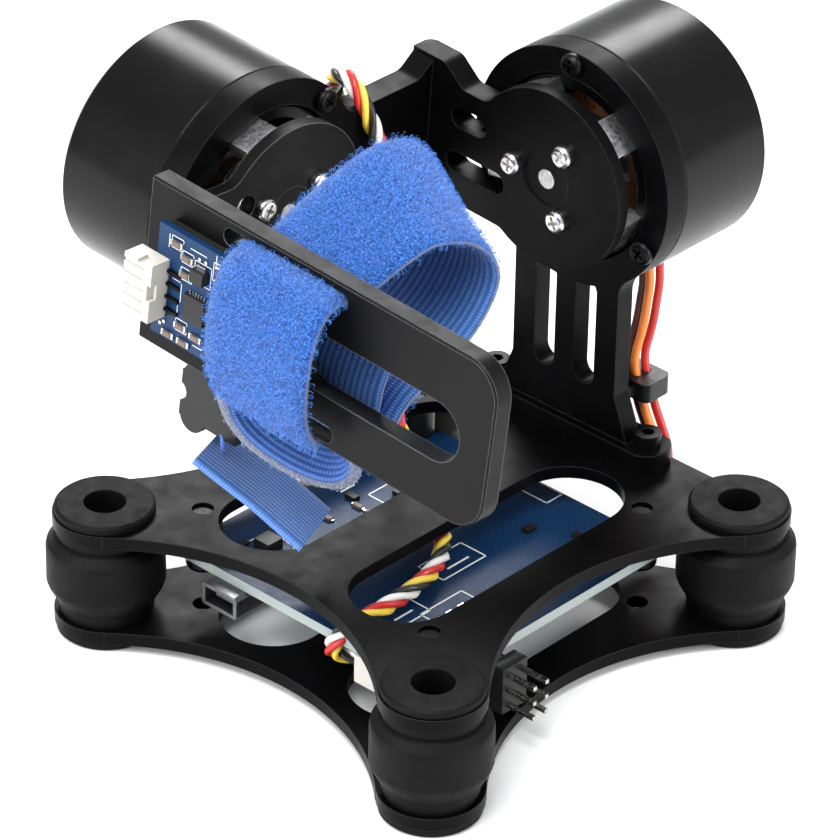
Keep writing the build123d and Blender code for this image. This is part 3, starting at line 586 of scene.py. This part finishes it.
def frayed_end(name, stations, width, count, seed):
    """Loose threads along a strap's cut end."""
    rng = random.Random(seed)
    (start, across), (inner, _) = stations[0], stations[1]
    out = (start - inner).normalized()
    across = across.normalized()
    bm = bmesh.new()
    for _ in range(count):
        s = rng.uniform(-0.5, 0.5) * width
        p = start + across * s
        sideways = across * rng.uniform(-1.0, 1.0)
        lift = Vector((-0.5, 0, 0)) * rng.uniform(-0.6, 1.4)
        heading = (out + sideways + lift).normalized()
        curl = heading.cross(across) * rng.uniform(-0.9, 0.9)
        reach = rng.uniform(0.5, 2.1)
        points = [(p - out * 0.6 + heading * (reach * t) + curl * (reach * t * t)) * MM
                  for t in (0, 0.33, 0.66, 1.0)]
        half = across * (0.025 * MM)
        pairs = [(bm.verts.new(q - half), bm.verts.new(q + half)) for q in points]
        for (u0, u1), (w0, w1) in zip(pairs, pairs[1:]):
            bm.faces.new((u0, u1, w1, w0))
    made = finish_mesh(name, bm, ["fibre"], "tray")


frayed_end("strap_fray", band, STRAP_WIDTH, 420, 21)


# ------------------------------------------------------------------ tilt sensor parts
SENSOR_FACE_X = -26.1


def on_sensor(p):
    """(depth out of the board, along Y, up), in millimetres, to the rest pose."""
    return tray_space((SENSOR_FACE_X - p[0], p[1], p[2]))


def chip_with_leads(y, z, width, height, thick, leads, pitch):
    """A package and its leads along all four sides."""
    items = [((thick / 2 + 0.06, y, z), (thick, width, height), 0)]
    for i in range(leads):
        offset = (i - (leads - 1) / 2) * pitch
        for sign in (-1, 1):
            items.append(((0.12, y + sign * (width / 2 + 0.22), z + offset), (0.24, 0.55, pitch * 0.5), 1))
            items.append(((0.12, y + offset, z + sign * (height / 2 + 0.22)), (0.24, pitch * 0.5, 0.55), 1))
    return items


def passive(y, z, along_y, tone=2):
    """A small two-ended part on its pads."""
    long, short = 1.5, 0.8
    size = (0.5, long, short) if along_y else (0.5, short, long)
    items = [((0.32, y, z), size, tone)]
    for sign in (-1, 1):
        at = (0.2, y + sign * 0.85, z) if along_y else (0.2, y, z + sign * 0.85)
        pad = (0.36, 0.6, 0.95) if along_y else (0.36, 0.95, 0.6)
        items.append((at, pad, 1))
    return items


def outline(y0, y1, z0, z1, line=0.16):
    """Four printed lines round a rectangle."""
    my, mz = (y0 + y1) / 2, (z0 + z1) / 2
    return [((0.02, my, z0), (0.04, y1 - y0, line), 3), ((0.02, my, z1), (0.04, y1 - y0, line), 3),
            ((0.02, y0, mz), (0.04, line, z1 - z0), 3), ((0.02, y1, mz), (0.04, line, z1 - z0), 3)]


sensor_items = chip_with_leads(9.4, -2.4, 3.9, 3.9, 0.8, 6, 0.55)
sensor_items += [((0.7, 9.0, 3.1), (1.2, 2.5, 1.9), 0), ((0.3, 9.0, 4.3), (0.4, 1.6, 0.6), 1)]
# centre along Y and Z from the pitch axis, and whether the part lies along Y
SENSOR_PASSIVES = (
    (11.9, 4.4, True), (11.9, 1.8, True), (12.0, -6.4, True), (9.0, -6.8, True), (6.0, 1.2, False),
    (6.0, -5.8, False), (14.0, 5.8, True), (6.0, 4.8, False), (14.2, -8.6, True), (11.2, -8.6, True),
)
# limits along Y, then along Z
SENSOR_OUTLINES = (
    (10.8, 13.0, 3.5, 5.3), (10.8, 13.0, 0.9, 2.7), (7.3, 10.5, 1.6, 4.9), (5.0, 7.0, 3.4, 6.2),
    (12.9, 15.1, 4.9, 6.7), (10.9, 13.1, -7.3, -5.5),
)
# centre, length, and whether the line is upright
SENSOR_LINES = (
    (13.6, 1.2, 2.4, False), (13.6, 0.2, 1.6, False), (10.0, 6.2, 3.2, False), (12.6, -1.4, 3.0, True),
    (15.6, 5.6, 2.2, True), (8.6, -8.2, 2.0, False), (13.0, -4.4, 1.8, True), (6.6, 6.6, 1.6, True),
)
SENSOR_PADS = ((15.9, -7.6), (15.9, -6.6), (15.2, -7.1), (9.6, 5.4), (8.4, 5.4), (5.2, -3.4), (5.2, -2.2))
BOARD_MATERIALS = ("chip", "screw_steel", "ceramic", "legend")

for y, z, along in SENSOR_PASSIVES:
    sensor_items += passive(y, z, along, 2 if along else 0)
for limits in SENSOR_OUTLINES:
    sensor_items += outline(*limits)
for y, z, length, upright in SENSOR_LINES:
    size = (0.04, 0.16, length) if upright else (0.04, length, 0.16)
    sensor_items.append(((0.02, y, z), size, 3))
for y, z in SENSOR_PADS:
    sensor_items.append(((0.1, y, z), (0.2, 0.5, 0.5), 1))
sensor_parts = boxes("sensor_parts", sensor_items, BOARD_MATERIALS, "tray", on_sensor)
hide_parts("sensor_chips")


# ------------------------------------------------------------------ controller board parts
BOARD_TOP_Z = 12.0


def flat_outline(x0, x1, y0, y1, line=0.32):
    """Four printed lines on the board's top."""
    mx, my, z = (x0 + x1) / 2, (y0 + y1) / 2, BOARD_TOP_Z + 0.02
    return [((mx, y0, z), (x1 - x0, line, 0.04), 3), ((mx, y1, z), (x1 - x0, line, 0.04), 3),
            ((x0, my, z), (line, y1 - y0, 0.04), 3), ((x1, my, z), (line, y1 - y0, 0.04), 3)]


# centre, width and depth
BOARD_OUTLINES = (
    (0.0, -6.0, 9.0, 5.0), (-15.0, -10.0, 7.0, 5.0), (23.0, -2.3, 3.4, 6.0), (-9.0, -16.8, 8.6, 9.2),
    (12.6, -20.2, 6.2, 3.2), (-16.8, 15.6, 7.2, 6.0), (8.2, 12.3, 7.6, 5.4),
)
# left end and length
BOARD_BARS = (
    (-2.0, -6.9, 4.6), (-2.6, -5.2, 3.0), (-17.0, -10.6, 3.8), (-3.0, -19.5, 5.0), (-3.0, -17.6, 3.4),
    (-3.0, -15.8, 4.2), (11.4, -16.4, 3.0), (14.2, 17.6, 3.6), (2.0, 18.4, 3.0),
)

rng = random.Random(8)
board_items = []
for x, y, width, depth in BOARD_OUTLINES:
    board_items += flat_outline(x - width / 2, x + width / 2, y - depth / 2, y + depth / 2)
for x, y, length in BOARD_BARS:
    board_items.append(((x + length / 2, y, BOARD_TOP_Z + 0.02), (length, 0.42, 0.04), 3))
for column in (-12.6, -10.1, -7.6):
    for row in (-20.2, -17.7, -15.2):
        board_items.append(((column, row, BOARD_TOP_Z + 0.12), (1.3, 1.3, 0.24), 1))
for _ in range(14):
    x, y = rng.uniform(-21, 21), rng.uniform(9, 19)
    across = rng.random() < 0.5
    size = (1.7, 0.9, 0.5) if across else (0.9, 1.7, 0.5)
    board_items.append(((x, y, BOARD_TOP_Z + 0.25), size, rng.choice((0, 2, 2))))
    for sign in (-1, 1):
        at = (x + sign * 0.95, y) if across else (x, y + sign * 0.95)
        board_items.append(((*at, BOARD_TOP_Z + 0.16), (0.55, 0.55, 0.32), 1))
board_parts = boxes("board_parts", board_items, BOARD_MATERIALS, "frame", Vector)


# ------------------------------------------------------------------ sensor cable
CABLE_ROUTE = [
    (-22.0, -10.2, 7.8), (-23.6, -6.4, 7.4), (-25.8, -6.2, 9.6), (-24.4, -8.6, 13.6), (-17.0, -9.6, 14.2),
    (-8.0, -8.8, 14.2), (-1.0, -5.4, 14.2), (5.0, 1.0, 14.2), (9.0, 7.6, 14.8), (9.6, 12.4, 18.5),
    (9.4, 15.4, 26.0), (12.0, 17.4, 36.0), (14.0, 18.4, 48.0), (13.2, 20.0, 59.0), (10.4, 20.8, 70.0),
    (9.6, 25.0, 76.4), (11.4, 29.6, 74.0), (13.6, 31.4, 69.4), (14.3, 31.2, 66.6),
]
WIRE_R = 0.56
TWIST_R = 0.78
TWIST_PITCH = 11.0


def spline_points(route):
    """Points along the smooth NURBS line that has the route as its control points, in metres."""
    curve = bpy.data.curves.new("cable_line", "CURVE")
    curve.dimensions = "3D"
    curve.resolution_u = 14
    spline = curve.splines.new("NURBS")
    spline.points.add(len(route) - 1)
    for point, p in zip(spline.points, route):
        point.co = (*mm(*p), 1)
    spline.order_u = 3
    spline.use_endpoint_u = True
    holder = bpy.data.objects.new("cable_line", curve)
    bpy.context.scene.collection.objects.link(holder)
    bpy.context.view_layer.update()
    line = bpy.data.meshes.new_from_object(holder)
    points = [v.co.copy() for v in line.vertices]
    bpy.data.objects.remove(holder)
    bpy.data.meshes.remove(line)
    return points


def twisted_cable(name, route, colours):
    """Round wires laid round each other along the route."""
    line = spline_points(route)
    bm = bmesh.new()
    side = Vector((0, 0, 1)).cross(line[1] - line[0]).normalized()
    frames, run = [], 0.0
    for i, p in enumerate(line):
        along = (line[min(i + 1, len(line) - 1)] - line[max(i - 1, 0)]).normalized()
        side = (side - along * side.dot(along)).normalized()
        if i:
            run += (p - line[i - 1]).length
        frames.append((p, side.copy(), along.cross(side), run))
    for k in range(len(colours)):
        rings = []
        for p, u, v, run in frames:
            a = 2 * math.pi * (run / (TWIST_PITCH * MM) + k / len(colours))
            middle = p + (u * math.cos(a) + v * math.sin(a)) * TWIST_R * MM
            rings.append([bm.verts.new(middle + (u * math.cos(b) + v * math.sin(b)) * WIRE_R * MM)
                          for b in (2 * math.pi * j / 10 for j in range(10))])
        for r0, r1 in zip(rings, rings[1:]):
            for j in range(10):
                face = bm.faces.new((r0[j], r0[(j + 1) % 10], r1[(j + 1) % 10], r1[j]))
                face.material_index = k
        for ring in (rings[0], rings[-1]):
            face = bm.faces.new(ring)
            face.material_index = k
    bmesh.ops.recalc_face_normals(bm, faces=bm.faces)
    obj = finish_mesh(name, bm, colours, None)
    return obj, line


WIRES = ("wire_white", "wire_red", "wire_yellow", "wire_black")
cable, cable_line = twisted_cable("sensor_cable", CABLE_ROUTE, WIRES)
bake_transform(cable)


# ------------------------------------------------------------------ floor, light and camera
def floor():
    lowest = CAD_BOX[0][2]
    bm = bmesh.new()
    bmesh.ops.create_grid(bm, x_segments=2, y_segments=2, size=3.0)
    for v in bm.verts:
        v.co.z = lowest
    n = Nodes("floor", Roughness=0.9)
    n.colour(n.ramp(n.noise(3, 2), (0.3, (0.86, 0.86, 0.86)), (0.7, (0.88, 0.88, 0.88))))
    M["floor"] = n.mat
    finish_mesh("floor", bm, ["floor"], None)


def area_light(name, at, aim, size, power):
    data = bpy.data.lights.new(name, "AREA")
    data.shape = "RECTANGLE"
    data.size, data.size_y = size
    data.energy = power
    lamp = bpy.data.objects.new(name, data)
    lamp.location = at
    lamp.rotation_euler = (Vector(aim) - Vector(at)).to_track_quat("-Z", "Y").to_euler()
    bpy.context.scene.collection.objects.link(lamp)


CAMERA_DISTANCE = 0.70177


def camera():
    """Long lens on the -X, -Y side, looking down at the tray from a little above the motors."""
    azimuth, elevation, roll = math.radians(-47.36), math.radians(31.703), math.radians(1.138)
    target = mm(-6.427, -5.056, 38.5)
    back = Vector((math.sin(azimuth) * math.cos(elevation), -math.cos(azimuth) * math.cos(elevation),
                   math.sin(elevation)))
    right = Vector((math.cos(azimuth), math.sin(azimuth), 0))
    up = back.cross(right)
    right, up = (right * math.cos(roll) + up * math.sin(roll), up * math.cos(roll) - right * math.sin(roll))
    data = bpy.data.cameras.new("camera")
    data.lens = 212.67
    data.sensor_width = 36.0
    data.clip_start = 0.01
    view = bpy.data.objects.new("camera", data)
    turned_to = Matrix((right, up, back)).transposed().to_4x4()
    view.matrix_world = Matrix.Translation(target + back * CAMERA_DISTANCE) @ turned_to
    bpy.context.scene.collection.objects.link(view)
    bpy.context.scene.camera = view


floor()
centre = mm(0, 0, 45)
area_light("key", (-0.3, -0.1, 0.8), centre, (0.4, 0.5), 7.5)
area_light("left", (-0.8, 0.25, 0.3), centre, (0.18, 0.7), 7.0)
area_light("right", (0.3, -0.85, 0.3), centre, (0.18, 0.7), 7.0)
area_light("rear", (0.55, 0.45, 0.6), centre, (0.5, 0.25), 6.0)
world = bpy.data.worlds.new("world")
world.use_nodes = True
background = world.node_tree.nodes["Background"]
background.inputs["Color"].default_value = (0.97, 0.98, 1.0, 1)
background.inputs["Strength"].default_value = 0.74
bpy.context.scene.world = world
bpy.context.scene.view_settings.view_transform = "Standard"
camera()
